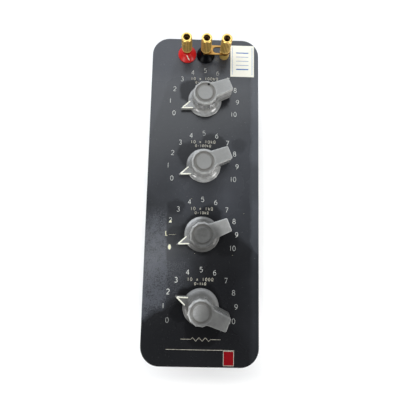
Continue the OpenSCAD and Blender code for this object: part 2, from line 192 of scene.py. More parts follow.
def gridFaces(nv, nu, wrapV=False):
    # quads of a grid of nv rows of nu points that run round; with wrapV the last row meets the first
    v = np.arange(nv if wrapV else nv - 1)[:, None]
    u = np.arange(nu)[None, :]
    a, b = v * nu + u, ((v + 1) % nv) * nu + u
    c, d = ((v + 1) % nv) * nu + (u + 1) % nu, v * nu + (u + 1) % nu
    return np.stack([a, b, c, d], -1).reshape(-1, 4)


def poleFaces(nv, nu, first, last):
    # triangles that close the first row on point first and the last row on point last
    u = np.arange(nu)
    base = (nv - 1) * nu
    top = np.stack([np.full(nu, first), u, (u + 1) % nu], -1)
    low = np.stack([np.full(nu, last), base + (u + 1) % nu, base + u], -1)
    return top.tolist() + low.tolist()


def ringGrid(r, z, around):
    # a section carried round the upright axis
    a = np.arange(around) / around * 2 * np.pi
    return np.stack([np.outer(r, np.cos(a)), np.outer(r, np.sin(a)), np.outer(z, np.ones(around))], -1)


def joined(parts):
    # several meshes as one: each part's faces count on from the points before it
    points, faces, start = [], [], 0
    for p, f in parts:
        points.append(p)
        faces += [[i + start for i in face] for face in f]
        start += len(p)
    return np.concatenate(points), faces


def putInScene(name, mesh, body, material, smooth=True):
    # an object at the origin with its shading, finish, body and slot
    mesh.polygons.foreach_set("use_smooth", np.full(len(mesh.polygons), smooth))
    mesh.materials.append(material)
    piece = bpy.data.objects.new(name, mesh)
    bpy.context.scene.collection.objects.link(piece)
    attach(piece, body)
    return piece


def addPiece(name, points, faces, body, material, smooth=True, outward=False, stored=None):
    # arrays of points and faces as a piece; stored holds one value for each point under each name
    mesh = bpy.data.meshes.new(name)
    mesh.from_pydata(np.asarray(points).reshape(-1, 3).tolist(), [], [list(f) for f in faces])
    if outward:
        shape = bmesh.new()
        shape.from_mesh(mesh)
        bmesh.ops.recalc_face_normals(shape, faces=shape.faces)
        shape.to_mesh(mesh)
        shape.free()
    for key, values in (stored or {}).items():
        kept = mesh.attributes.new(key, "FLOAT", "POINT")
        kept.data.foreach_set("value", np.asarray(values, np.float32).ravel())
    return putInScene(name, mesh, body, material, smooth)


def softCopy(node, name, width, body, material):
    # the node's own shape, welded and with its edges rounded by a bevel
    shape = bmesh.new()
    shape.from_mesh(nodes[node].data)
    bmesh.ops.remove_doubles(shape, verts=shape.verts, dist=1e-6)
    bmesh.ops.dissolve_limit(shape, angle_limit=np.radians(0.3), verts=shape.verts, edges=shape.edges)
    mesh = bpy.data.meshes.new(name)
    shape.to_mesh(mesh)
    shape.free()
    piece = putInScene(name, mesh, body, material)
    bevel = piece.modifiers.new("edges", "BEVEL")
    bevel.width, bevel.segments = width * mm, 3
    bevel.limit_method, bevel.angle_limit = "ANGLE", np.radians(35)
    bevel.harden_normals = False
    piece.modifiers.new("shading", "WEIGHTED_NORMAL").keep_sharp = True
    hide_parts(node)


def softMax(a, b, k):
    # the greater of two values, with a fillet of about k where they cross
    return 0.5 * (a + b + np.sqrt((a - b) ** 2 + k * k))


def easeStep(x, low, high):
    # 0 before low, 1 past high, and a smooth cubic between
    t = np.clip((x - low) / (high - low), 0, 1)
    return t * t * (3 - 2 * t)


# dust on the panel, with painted sheen and painted light in the same film. An edge counts x, y and the waver so
# many times each, and runs from 0 at the first place to 1 at the second, in millimetres; a patch is the product of
# its edges
bandEnd = (-0.65, 1, 1, -88.5, -79.5)  # slanting near end of the band on the left
sideStrip = (1, 0, 0.3, 45.5, 49.5)  # along the right edge
waverSize = 16  # how far the waver moves an edge that counts it once
# band: mottled dust on the left that also paints the reflection of a bright window; shade and haze: film that
# paints light beside the third and fourth dials; posts: film that paints sheen by the posts
dustAndSheenEdges = {
    "band": [(1, 0.03, 0.2, -34, -36.5), (0, 1, 1, -12, -34), bandEnd],
    "bandThin": [(1, 0, 0, -45.5, -49.5), (0, 1, 0, -66, -56)],
    "lined": [(0, 1, 0, -82, -60)],
    "shade": [(1, 0, 1, 5, -8), (0, 1, 1, -20, -60), bandEnd],
    "haze": [(1, 0, 1, -8, -20), (0, 1, 1, -60, -70), (-0.65, 1, 1, -83, -77)],
    "posts": [(0, 1, 0, 108, 128)],
}
# plain patches of dust and painted sheen, set to how bright the panel looks: how much film each adds or takes, and
# its edges
dustAndSheenPatches = [
    (0.29, [(0, 1, 0, -80, 140)]),  # more and more towards the posts
    (0.05, [(1, 0, 0, -12, -22), (0, 1, 0, 60, 30), (0, 1, 0, -45, -20)]),  # left of the middle dials
    (0.22, [(1, 0, 0, 6, 24), (0, 1, 0, 70, 40), (0.86, 1, 0.2, -14.5, -8.5)]),  # right, with a slanting end
    (0.2, [(1, 0, 0, -36, -16), (1, 0, 0, 42, 22), (0, 1, 0, 36, 14), (0, 1, 0, -34, -14)]),  # middle
    (0.08, [(1, 0, 1, 30, 45), (0, 1, 0, -60, -85), (0, 1, 1, -146, -125)]),  # right of the fourth dial
    (0.12, [(1, -0.3, 0.2, -69.5, -73)]),  # far left corner, with a slanting edge
    (0.1, [(1, 0, 0, 0, -12), (0, 1, 1, 30, 12), (0.6, 1, 1, -44, -30)]),  # left of the middle
    (0.1, [(1, 0, 0, 20, 45), (0, 1, 0, 100, 60), (0, 1, 0, 20, 50)]),  # right of the first two dials
    (0.12, [sideStrip]),
    (0.3, [sideStrip, (0, 1, 0, -75, -40)]),
    (-0.24, [sideStrip, (0, 1, 0, -14, -2), (0, 1, 0, 34, 24)]),  # a gap in the strip
    (-0.05, [(0, 1, 0, 116, 100), (0, 1, 0, 30, 70)]),  # around the first dial
    (-0.05, [(1, 0, 0, -12, -30), (0, 1, 0, 116, 100), (0, 1, 0, 20, 60)]),  # and to the left of it
]
# places round the knobs with less dust and a duller coat, for dust rubbed off and for the painted shade, shadows
# and reflections of the knobs: dial, offset and radius in millimetres, and how dark they are
rubbedAndShaded = [
    (0, -14, 10, 13, 1.0), (0, 4, 22, 8, 0.5),
    (1, -14, 12, 13, 0.7), (1, 10, 19, 14, 0.7), (1, 35, 21, 8, 0.4),
    (2, 8, 18, 11, 0.8), (2, 0, 1, 20, 1.0), (2, 24, -8, 12, 0.6),
    (2, -25, -3, 11, 0.55), (2, -25, 25, 8, 0.55),
    (3, 0, 1, 20, 1.0), (3, 2, -20, 17, 0.9), (3, -20, -6, 9, 0.8), (3, -16.5, 12, 4.5, 1.0),
]


def panelFinish():
    # near-black paint with an orange-peel skin under a thin film of dust that also stands for painted sheen and
    # painted light: the film is the sum of the patches, mottled and finely lined in the band on the left, and
    # taken off in the rubbed and shaded places, which paint the knobs' shade, shadows and reflections
    m = Finish("panelPaint")
    p = m.place()
    grain = m.noise(p, 1100, 4, 0.7) * 0.25 + m.noise(p, 430, 3, 0.6)
    cloud = m.noise(p, 26, 4, 0.55)
    blotch = m.noise(p, 75, 4, 0.6)
    fine = m.mask(m.noise(p, 900, 3, 0.7), 0.36, 0.64)
    coarse = m.mask(m.noise(p, 120, 4, 0.65), 0.38, 0.6)
    thread = m.mask((m.noise(p, 330, 2, 0.5) - 0.5).math("ABSOLUTE"), 0.03, 0.006)
    x, y = (m.axis(p, letter) * (1 / mm) for letter in "XY")
    waver = (blotch - 0.5) * waverSize

    def patch(edges):
        soft = []
        for *counts, low, high in edges:
            terms = [s if c == 1 else s * c for s, c in zip((x, y, waver), counts) if c]
            soft.append(m.mask(sum(terms[1:], terms[0]), low, high))
        return prod(soft[1:], start=soft[0])

    edge = {name: patch(edges) for name, edges in dustAndSheenEdges.items()}
    band = edge["band"] * (1.0 - edge["bandThin"] * 0.35)
    lined = thread * edge["lined"] * m.mask(blotch, 0.42, 0.55)
    dustAndSheen = 0.05 + band * (fine * 0.42 + coarse * 0.44 + lined * 1.2)
    # the shade and haze patches add painted light, and the posts patch adds painted sheen
    dustAndSheen = dustAndSheen + edge["shade"] * (0.14 + fine * 0.06) + edge["haze"] * fine * 0.42 + edge["posts"] * 0.2
    for share, edges in dustAndSheenPatches:
        dustAndSheen = dustAndSheen + patch(edges) * share
    awayFromDarkPlaces = 1.0  # 0 in the middle of a place that is wholly rubbed and painted dark for shade
    for dial, dx, dy, r, share in rubbedAndShaded:
        middle = (dx * mm, dialY[dial] + dy * mm, panelTop)
        far = m.node("ShaderNodeVectorMath", {"operation": "DISTANCE"}, {0: p, 1: middle}, out="Value")
        outside = m.mask(far * (1 / mm) + waver * 0.6, r - 1.5, r + 1)
        awayFromDarkPlaces = outside * share * awayFromDarkPlaces + awayFromDarkPlaces * (1.0 - share)
    dustAndSheen = (dustAndSheen * (0.25 + 0.75 * awayFromDarkPlaces) * (0.6 + cloud * 0.8)).clamped()
    fleck = m.mask(m.noise(p, 620, 3, 0.6), 0.66, 0.74)
    base = m.mix(cloud, tone(18, 18, 19), tone(24, 24, 25))
    # the film's pale blue-grey is dust and painted sheen
    base = m.mix(dustAndSheen * 0.7, base, tone(96, 98, 104))
    base = m.mix(fleck * (0.06 + dustAndSheen * 0.35), base, tone(150, 150, 146))
    return m.surface(Base_Color=base, Roughness=0.16 + dustAndSheen * 0.2 + cloud * 0.04, Specular_IOR_Level=0.18,
                     Coat_Weight=0.04 + awayFromDarkPlaces * (0.5 - edge["posts"] * 0.35), Coat_Roughness=0.22,
                     Normal=m.bump(grain, 0.5, 0.0003))


def caseFinish():
    # dark grey paint, cloudy in large patches, with a fine grain in its skin
    m = Finish("casePaint")
    p = m.place()
    grain = m.noise(p, 900, 4, 0.6)
    base = m.mix(m.noise(p, 18, 4), tone(50, 51, 53), tone(62, 63, 65))
    return m.surface(Base_Color=base, Roughness=0.42 + grain * 0.12, Normal=m.bump(grain, 0.3, 0.0002))


def knobFinish():
    # grey moulding: cloudy, scuffed, pale where edges are rubbed and where highlights are painted, brown with
    # grime in the groove, dull and dark where soiled and where shade is painted; the walls and the skirt are
    # polished, with a painted blue-grey reflection in upright streaks
    m = Finish("knobPlastic")
    p = m.place()
    cloud = m.noise(p, 120, 4, 0.6)
    grain = m.noise(p, 1300, 3)
    scuff = m.mask(m.noise(p, 900, 5, 0.7), 0.45, 0.75)
    patch = m.mask(m.noise(p, 330, 3), 0.38, 0.62)
    drawnOut = m.node("ShaderNodeVectorMath", {"operation": "MULTIPLY"}, {0: p, 1: (1.0, 1.0, 0.1)})
    streakReflection = m.mask(m.noise(drawnOut, 560, 3, 0.6), 0.45, 0.62)
    wear, grime, gloss, soil = (m.stored(s) for s in ("wear", "grime", "gloss", "soil"))
    base = m.mix(cloud, tone(127, 126, 122), tone(147, 146, 142))
    base = m.mix(scuff * 0.2, base, tone(164, 163, 158))
    # painted blue-grey reflection of the room on the polished walls and skirt, in upright streaks
    base = m.mix(gloss * (0.1 + streakReflection * 0.42), base, tone(90, 94, 103))
    # pale where edges are worn and where highlights are painted
    base = m.mix((wear * (0.3 + scuff * 0.35 + patch * 0.35)).clamped(), base, tone(200, 200, 197))
    base = m.mix((grime * (0.35 + cloud * 0.5)).clamped(), base, tone(92, 86, 76))
    # dark where there is dirt and painted shade
    base = m.mix((soil * (0.45 + cloud)).clamped(), base, tone(70, 69, 66))
    rough = 0.34 - gloss * 0.2 + scuff * 0.06 + grime * 0.12 + soil * 0.08
    return m.surface(Base_Color=base, Roughness=rough, Normal=m.bump(grain, 0.12, 0.0002),
                     Coat_Weight=gloss, Coat_Roughness=0.1)


def goldFinish(name, bright, dull, metal):
    # bright gilding with duller, rougher tarnish where the noise is high
    m = Finish(name)
    tarnish = m.mask(m.noise(m.place(), 260, 4, 0.6), 0.48, 0.75)
    return m.surface(Base_Color=m.mix(tarnish, bright, dull), Metallic=metal, Roughness=0.34 + tarnish * 0.12)


def studFinish():
    # gilt like the nuts; above the panel, in the socket, brown with old dirt over fine turning rings that
    # glint
    m = Finish("studBrass")
    p = m.place()
    cloud = m.noise(p, 300, 4, 0.6)
    up = m.mask(m.axis(p, "Z"), panelTop + 8 * mm, panelTop + 14 * mm)
    base = m.mix(cloud, tone(214, 178, 104), tone(184, 138, 72))
    base = m.mix(up * (0.7 + cloud * 0.3), base, tone(96, 66, 40))
    return m.surface(Base_Color=base, Metallic=1.0 - up * 0.2, Roughness=0.24 + up * 0.1,
                     Normal=m.bump(m.rings(p, 380.0, 0.6), 0.9, 0.0004))


def fluteFinish():
    # pale on the crests, dark down in the flutes with dirt and painted shade
    m = Finish("flutedGilt")
    cloud = m.noise(m.place(), 320, 4, 0.6)
    grime = m.stored("grime")
    base = m.mix(cloud, tone(246, 212, 128), tone(224, 180, 96))
    base = m.mix((grime ** 1.5 * (0.8 + cloud * 0.4)).clamped(), base, tone(50, 33, 14))
    metal = 1.0 - m.mask(grime, 0.05, 0.15) * 0.5
    return m.surface(Base_Color=base, Metallic=metal, Roughness=0.3 + grime * 0.2)


def glossFinish(name, deep, pale, rough, shine):
    # smooth moulding in two near tones, with a fine haze that roughens it
    m = Finish(name)
    p = m.place()
    haze = m.mask(m.noise(p, 900, 4, 0.7), 0.5, 0.8)
    base = m.mix(m.noise(p, 180, 3), deep, pale)
    return m.surface(Base_Color=base, Roughness=rough + haze * 0.12, Specular_IOR_Level=shine)


def paintFinish(name, pale, dull, rough=0.55, shine=0.5, fadeTo=None):
    # paint worn to a duller tone in small spots, and mixed towards fadeTo by the amount stored as fade
    m = Finish(name)
    worn = m.mask(m.noise(m.place(), 800, 4, 0.7), 0.42, 0.7)
    base = m.mix(worn, pale, dull)
    if fadeTo:
        base = m.mix(m.stored("fade"), base, fadeTo)
    return m.surface(Base_Color=base, Roughness=rough, Specular_IOR_Level=shine)


def paperFinish():
    # off-white paper with fibres in its skin and faint stains
    m = Finish("labelPaper")
    p = m.place()
    fibre = m.noise(p, 1600, 4, 0.7)
    stain = m.mask(m.noise(p, 110, 3), 0.5, 0.8)
    base = m.mix(stain * 0.5, tone(246, 242, 226), tone(230, 224, 202))
    return m.surface(Base_Color=base, Roughness=0.62 + fibre * 0.1, Normal=m.bump(fibre, 0.15, 0.0001))


def metalFinish(name, first, second, rough):
    # plain metal, cloudy between two tones and a little rougher in the second
    m = Finish(name)
    cloud = m.noise(m.place(), 300, 4)
    return m.surface(Base_Color=m.mix(cloud, first, second), Metallic=1.0, Roughness=rough + cloud * 0.12)


def dullFinish(name, first, second, rough, scale, grainScale):
    # a dull material, cloudy between two tones, with a grain in its skin
    m = Finish(name)
    p = m.place()
    cloud = m.noise(p, scale, 4)
    return m.surface(Base_Color=m.mix(cloud, first, second), Roughness=rough + cloud * 0.08,
                     Normal=m.bump(m.noise(p, grainScale, 3), 0.2, 0.0002))


def cardFinish():
    # turns of wire side by side, pale on their crests
    m = Finish("woundCard")
    turns = m.rings(m.place(), 420.0, 0.2)
    base = m.mix(turns, tone(120, 88, 48), tone(186, 150, 92))
    return m.surface(Base_Color=base, Roughness=0.45 - turns * 0.1, Normal=m.bump(turns, 0.5, 0.0002))


panelPaint = panelFinish()
knobPlastic = knobFinish()
giltBrass = goldFinish("giltBrass", tone(146, 112, 62), tone(120, 84, 42), 1.0)
collarGilt = goldFinish("collarGilt", tone(226, 190, 108), tone(184, 142, 74), 0.6)
flutedGilt = fluteFinish()
studBrass = studFinish()
redGloss = glossFinish("redMoulding", tone(194, 24, 22), tone(216, 38, 34), 0.34, 0.3)
blackGloss = glossFinish("blackMoulding", tone(6, 6, 8), tone(10, 10, 13), 0.3, 0.06)
figurePaint = paintFinish("figurePaint", tone(222, 222, 214), tone(176, 176, 168), fadeTo=tone(58, 58, 58))
legendPaint = paintFinish("legendPaint", tone(204, 198, 180), tone(136, 130, 116))
faintPaint = paintFinish("faintPaint", tone(132, 124, 104), tone(96, 90, 78))
pointerPaint = paintFinish("pointerPaint", tone(250, 248, 232), tone(236, 232, 208))
chipDirt = dullFinish("chipDirt", tone(10, 9, 8), tone(20, 18, 16), 0.8, 300, 1200)
badgePaint = paintFinish("badgePaint", tone(140, 6, 16), tone(112, 8, 16), 0.4, 0.15)
bluePrint = paintFinish("bluePrint", tone(40, 92, 168), tone(96, 132, 186))
paleBluePrint = paintFinish("paleBluePrint", tone(112, 144, 196), tone(168, 186, 212))
blotPaint = paintFinish("blotPaint", tone(244, 240, 206), tone(224, 216, 170))
slotFinish = {
    "case_paint": caseFinish(), "panel_paint": panelPaint, "paper": paperFinish(), "gilt_brass": giltBrass,
    "red_plastic": redGloss, "black_plastic": blackGloss, "knob_plastic": knobPlastic,
    "steel": metalFinish("platedSteel", tone(172, 174, 178), tone(148, 150, 154), 0.26),
    "brass": metalFinish("plainBrass", tone(196, 160, 92), tone(172, 132, 70), 0.28),
    "copper_wire": metalFinish("copperWire", tone(198, 122, 78), tone(170, 96, 60), 0.25),
    "tinned_brass": metalFinish("tinnedBrass", tone(200, 196, 186), tone(176, 172, 162), 0.3),
    "rubber": dullFinish("footRubber", tone(22, 22, 22), tone(32, 32, 32), 0.75, 90, 1200),
    "phenolic": dullFinish("brownLaminate", tone(96, 58, 30), tone(124, 80, 44), 0.45, 60, 900),
    "wound_card": cardFinish(),
}
slotOf = {s["node"]: s["material_slot"] for s in frame["record"]["subparts"]}
for name, piece in nodes.items():
    piece.data.materials.clear()
    piece.data.materials.append(studBrass if name.endswith("_stud") else slotFinish[slotOf[name]])
print("finishes made:", len(bpy.data.materials))


# knob, in millimetres from its axis and above the panel: at each angle a section from the top's middle over
# the edge and down to the skirt, then back inside
knob = {
    "top": 22.3, "disc": 7.1, "ring": 9.6, "grooveDepth": 0.8, "dish": 0.3, "sunk": 0.1, "edge": 1.4,
    "hubTop": 11.8, "hubLow": 12.1, "flareTop": 8.4, "rimTop": 2.5, "gap": 0.8, "skirt": 16.7,
    "rimRound": 0.5, "rimIn": 0.35, "flutes": 12, "fluteDepth": 0.6, "fluteFrom": 6.2, "fluteFull": 9.4,
    "barEnd": 26.0, "barHalf": 6.15, "barRoot": 7.8, "barCorner": 1.1, "barLow": 4.0, "barDrop": 0.3,
    "barEdge": 0.9, "barFillet": 0.9, "draft": 0.015,
    "tip": 25.7, "apex": 26.5, "tipSlope": 0.367, "tipZ": 5.5, "tipFillet": 0.25,
    # rows at the pointer's top: height above it, share of its reach, and how far its edge is drawn back
    "tipRows": [(0.08, 0.02, 0.3), (0.06, 0.07, 0.3), (0.04, 0.5, 0.3), (0.02, 0.94, 0.3), (0.0, 1.0, 0.3),
                (-0.05, 1.0, 0.12), (-0.15, 1.0, 0.03)],
    "recess": 9.55, "recessTop": 5.4, "bore": 3.2, "boreTop": 17.2,
    "hole": 2.05, "holeZ": 11.15, "holeEnd": 9.3, "holeRound": 0.12, "angles": 520,
}


def knobAngles(k):
    # angles spread by a density that is 1 and has humps at the pointer's tip, the bar's corners, the grub
    # screw holes and the roots of the bar and the pointer: even steps along its running sum
    a = np.linspace(-np.pi, np.pi, 4001)
    fromTip, fromBar = np.abs(a), np.pi - np.abs(a)
    corner = np.arctan2(k["barHalf"], k["barEnd"])
    dense = 1 + 8 * np.exp(-(fromTip / 0.05) ** 2) + 5 * np.exp(-((fromBar - corner) / 0.05) ** 2)
    dense += 3 * np.exp(-((fromTip - np.pi / 2) / 0.22) ** 8)
    dense += 2 * np.exp(-((fromBar - 0.62) / 0.15) ** 2) + 2 * np.exp(-((fromTip - 0.35) / 0.15) ** 2)
    run = np.concatenate([[0], np.cumsum(0.5 * (dense[1:] + dense[:-1]))])
    return np.interp(np.arange(k["angles"]) / k["angles"] * run[-1], run, a)


def hubRadius(k, z):
    # upright hub wall with a little draft, a quarter ellipse out to the skirt, and a rounded rim
    t = np.clip((k["flareTop"] - z) / (k["flareTop"] - k["rimTop"]), 0, 1)
    flare = (k["skirt"] - k["hubLow"]) * (1 - np.sqrt(1 - t ** 2 * 0.995))
    down = np.clip((k["top"] - z) / (k["top"] - k["flareTop"]), 0, 1)
    wall = k["hubTop"] + (k["hubLow"] - k["hubTop"]) * down
    r = np.where(z > k["flareTop"], wall, k["hubLow"] + flare)
    low = np.clip((k["gap"] + k["rimRound"] - z) / k["rimRound"], 0, 1)
    return np.minimum(np.where(z < k["rimTop"], k["skirt"], r), k["skirt"]) - k["rimIn"] * low ** 2


def pointerReach(k, a):
    # radius of the pointer's outline: two straight edges that would meet at the apex, cut off at the tip
    c, s = np.cos(a), np.abs(np.sin(a))
    ahead = np.maximum(c, 0.05)
    edge = k["tipSlope"] * k["apex"] / (s + k["tipSlope"] * ahead)
    return np.where(c > 0.05, np.minimum(edge, k["tip"] / ahead), 0)


def barRadius(k, a, z):
    # half of the bar's outline as a run of points: along the end, round the corner, back along the tapered
    # side; read off as a radius for each angle
    draft = (k["top"] - z) * k["draft"]
    end, half, c = k["barEnd"] + draft * 0.3, k["barHalf"] + draft, k["barCorner"]
    taper = k["barRoot"] - k["barHalf"]
    bend = np.linspace(0, 1, 12) * (np.pi / 2 - np.arctan2(taper, k["barEnd"]))
    back = np.linspace(end - c, -2, 60)[1:]
    x = np.concatenate([np.full(8, end), end - c + c * np.cos(bend), back])
    side = half + taper * (1 - back / end)
    y = np.concatenate([np.linspace(0, half - c, 8), half - c + c * np.sin(bend), side])
    return np.interp(np.pi - np.abs(a), np.arctan2(y, x), np.hypot(x, y), right=0)


def knobRadius(k, a, z, out=0.0, inset=0.0):
    # outline at height z: the hub with its shallow flutes (the size of a sine, which leaves a ridge between
    # two), the bar and the pointer, run together with small fillets, less the two grub screw holes square
    # to the bar; out is how far the pointer is drawn from the hub to its full reach, inset how far it is
    # drawn back at its rounded edge
    flute = k["fluteDepth"] * np.abs(np.sin(0.5 * k["flutes"] * a))
    hub = hubRadius(k, z) - flute * easeStep(z, k["fluteFrom"], k["fluteFull"])
    bar = barRadius(k, a, z)
    bar = hub - 2 + (bar - hub + 2) * easeStep(z, k["barLow"] - 0.25, k["barLow"] + 0.25)
    whole = softMax(hub, bar, k["barFillet"])
    whole = whole + out * (softMax(whole, pointerReach(k, a) - inset, k["tipFillet"]) - whole)
    off = np.hypot(whole * np.cos(a), z - k["holeZ"])
    inHole = 1 - easeStep(off, k["hole"] - k["holeRound"], k["hole"] + k["holeRound"])
    drilled = whole - (whole - k["holeEnd"]) * inHole
    return np.where(np.abs(np.abs(a) - np.pi / 2) < 0.5, drilled, whole)


def knobSection(k):
    # rows of points from the top's middle outwards, with the paleness (wear and painted highlight) and the grime
    # of each: the dished disc, the ring groove, the flat rim, the rounded edge, the wall and the flare down to the
    # foot, then the recess and the bore
    a = knobAngles(k)
    one = np.ones_like(a)
    rows, wear, grime = [], [], []

    def keep(x, y, z, worn, dirt):
        rows.append(np.stack([x, y, z * one], -1))
        wear.append(worn * one)
        grime.append(dirt * one)

    def row(r, z, worn=0.0, dirt=0.0):
        keep(r * np.cos(a), r * np.sin(a), z, worn, dirt)

    d, g, top, deep = k["disc"], k["ring"], k["top"], k["grooveDepth"]
    for f in (0.12, 0.35, 0.6, 0.8, 0.92, 0.97):
        row(d * f, top - k["sunk"] - k["dish"] * (1 - f ** 2), 0.0, 0.15 if f < 0.9 else 0.3)
    groove = [(d, 0.3, 0.2, 0.5), (d + 0.12, 0.7 * deep, 0, 1), (d + 0.35, deep, 0, 1),
              (0.5 * (d + g), deep + 0.05, 0, 1), (g - 0.35, deep, 0, 1), (g - 0.1, 0.55 * deep, 0, 0.9),
              (g + 0.05, 0.12, 0.4, 0.4), (g + 0.3, 0.0, 0.5, 0.15)]
    for r, drop, worn, dirt in groove:
        row(r, top - drop, worn, dirt)
    # the rounded top edge: the outline is moved inwards along its own normal, a quarter circle in section
    rim = knobRadius(k, a, top - k["edge"])
    e = k["edge"] - (k["edge"] - k["barEdge"]) * easeStep(rim, 12.5, 15.0)
    px, py = rim * np.cos(a), rim * np.sin(a)
    tx, ty = np.roll(px, -1) - np.roll(px, 1), np.roll(py, -1) - np.roll(py, 1)
    size = np.hypot(tx, ty)
    nx, ny = ty / size, -tx / size
    inner = g + 0.3

    def edgeRow(back, drop, worn, dirt=0.0, pull=1.0):
        x, y = px - nx * back, py - ny * back
        far = np.hypot(x, y)
        near = inner + pull * (far - inner)
        z = top - drop - k["barDrop"] * easeStep(near, 11.0, 16.0)
        keep(x / far * near, y / far * near, z, worn, dirt)

    for t in (0.15, 0.35, 0.55, 0.75, 0.9, 1.0):
        edgeRow(e, 0.0, 0.05 + 0.3 * t ** 4, 0.05, t)
    # the rounded edge is palest at its middle: wear, and a painted highlight
    for q in np.radians([12, 25, 38, 51, 64, 76, 86]):
        edgeRow(e * (1 - np.sin(q)), e * (1 - np.cos(q)), 0.45 + 0.55 * np.sin(2 * q))
    # heights of the wall's rows, closest together over the grub screw holes and under the bar
    upper = np.concatenate([np.linspace(top - k["edge"] - 0.45, 13.9, 9), np.linspace(13.5, 8.9, 34),
                            np.linspace(8.7, 5.75, 10)])
    lower = np.concatenate([np.linspace(5.1, 4.45, 4), np.linspace(4.3, 3.6, 9), np.linspace(3.4, 2.3, 8),
                            [1.9, 1.5, 1.25, 1.1, 0.95, 0.85, k["gap"]]])
    steps = [(z, 0.0, 0.0) for z in upper] + [(k["tipZ"] + up, out, inset) for up, out, inset in k["tipRows"]]
    steps += [(z, 1.0, 0.0) for z in lower]
    for z, out, inset in steps:
        # pale rim of the skirt and top of the wall: wear and painted highlight
        worn = 0.55 * (1.2 < z < 3.2) + 0.2 * (z > 18)
        row(knobRadius(k, a, z, out, inset), z, worn, 0.35 * np.exp(-((z - 7.2) / 1.6) ** 2))
    inside = [(k["recess"] + 1.2, k["gap"]), (k["recess"], k["gap"] + 0.1), (k["recess"], k["recessTop"]),
              (k["bore"] + 0.4, k["recessTop"]), (k["bore"], k["recessTop"] + 0.3), (k["bore"], k["boreTop"])]
    for r, z in inside:
        row(r, z, 0, 0.6)
    ends = np.array([[0, 0, top - k["sunk"] - k["dish"]], [0, 0, k["boreTop"]]])
    return np.stack(rows), ends, np.concatenate(wear + [[0, 0]]), np.concatenate(grime + [[0.15, 0.6]])


def turned(points, angle, x, y):
    # turned about the upright axis by angle degrees and set on the panel at x, y, from millimetres to metres
    c, s = np.cos(np.radians(angle)), np.sin(np.radians(angle))
    return np.asarray(points) @ np.array([[c, s, 0], [-s, c, 0], [0, 0, 1]]) * mm + np.array([x, y, panelTop])


def pathSolid(path, half, low, high):
    # a flat bar of the given half width along a path, with rounded ends: four points across at each step
    path = np.asarray(path, float)
    run = np.concatenate([[0], np.cumsum(np.linalg.norm(np.diff(path, axis=0), axis=1))])
    total = run[-1]
    if total > 2 * half:
        cap = half * np.array([0.0, 0.06, 0.2, 0.45, 0.75, 1.0])
        at = np.concatenate([cap, run[(run > half) & (run < total - half)], total - cap[::-1]])
    else:
        at = np.linspace(0, total, 9)
    x, y = np.interp(at, run, path[:, 0]), np.interp(at, run, path[:, 1])
    tx, ty = np.gradient(x), np.gradient(y)
    far = np.clip(np.minimum(at, total - at) / half, 0, 1)
    wide = half * np.maximum(np.sqrt(1 - (1 - far) ** 2), 0.05) / (np.hypot(tx, ty) + 1e-9)
    nx, ny = -ty * wide, tx * wide
    zLow, zHigh = (np.interp(at, run, np.broadcast_to(z, run.shape)) for z in (low, high))
    across = ((1, zLow), (1, zHigh), (-1, zHigh), (-1, zLow))
    grid = np.stack([np.stack([x + side * nx, y + side * ny, z], -1) for side, z in across], 1)
    n = len(at)
    faces = gridFaces(n, 4).tolist() + [[0, 1, 2, 3], [4 * n - 1, 4 * n - 2, 4 * n - 3, 4 * n - 4]]
    return grid.reshape(-1, 3), faces


pointerLine = {"half": 0.62, "apex": 24.1, "from": 14.2, "lift": 0.1, "sink": 0.25}


def pointerLines(k, s):
    # two painted strips side by side with the pointer's edges, from the point where they meet to the ends
    # by the hub
    parts = []
    for side in (-1, 1):
        x = np.linspace(s["apex"], s["from"], 26)
        line = np.stack([x, side * k["tipSlope"] * (s["apex"] - x)], -1)
        parts.append(pathSolid(line, s["half"], k["tipZ"] - s["sink"], k["tipZ"] + s["lift"] + 0.01 * side))
    return joined(parts)


def soilOf(i, x, y, z):
    # dirt and painted shade on knob i at x, y from its middle and z above the panel: on the first two only at the
    # left; on the third all over but for the bar's end and the left and far sides; on the fourth rising from left
    # to right over the top, more below it, and most on the left of the skirt
    low = 1 - easeStep(z, 11, 18)
    if i < 2:
        nearLeft = 0.3 * easeStep(-0.85 * x - 0.5 * y, 9, 14)
        farLeft = (0.3 + 0.15 * i) * low * easeStep(-x, 8, 12) * easeStep(y, -7, -1)
        return 0.05 + 0.05 * i + nearLeft + farLeft
    if i == 2:
        barEnd = 0.8 * easeStep(0.92 * x + 0.38 * y, 11, 20)
        left, far = 0.65 * easeStep(0.35 * y - 0.9 * x, 4, 10), 0.65 * easeStep(y, 5, 12)
        farFoot = 0.55 * easeStep(-z, -8, -5) * easeStep(y, 3, 10) * easeStep(x, -10, -4)
        return np.clip(0.92 - barEnd - left - far + farFoot, 0, 1)
    onTop = (0.065 * np.clip(0.9 * x - 0.4 * y, -7, 6) - 0.1 * easeStep(x, 9, 14)) * easeStep(z, 16, 20)
    left = 0.7 * easeStep(-0.95 * x - 0.3 * y, 8, 12) * easeStep(-np.hypot(x, y), -17.4, -16.4)
    return np.clip(0.38 + onTop + low * (0.25 + left + 0.35 * easeStep(-y, 7, 11)), 0, 0.95)


def paleOf(i, x, z):
    # how much painted highlight knob i gets: on the skirt and on the bar's sides by their own amounts, and on the
    # left of the fourth's top
    skirt = (0.65, 0.95, 0.1, 0.0)[i] * (1 - easeStep(z, 6, 9))
    side = (0.9, 1.0, 0.0, 0.3)[i] * easeStep(x, 9, 13) * easeStep(z, 8, 11) * easeStep(-z, -20.8, -20.4)
    return np.maximum(skirt + side, 0.75 * (i == 3) * easeStep(-x, -2, 7) * easeStep(z, 19.5, 20.5))


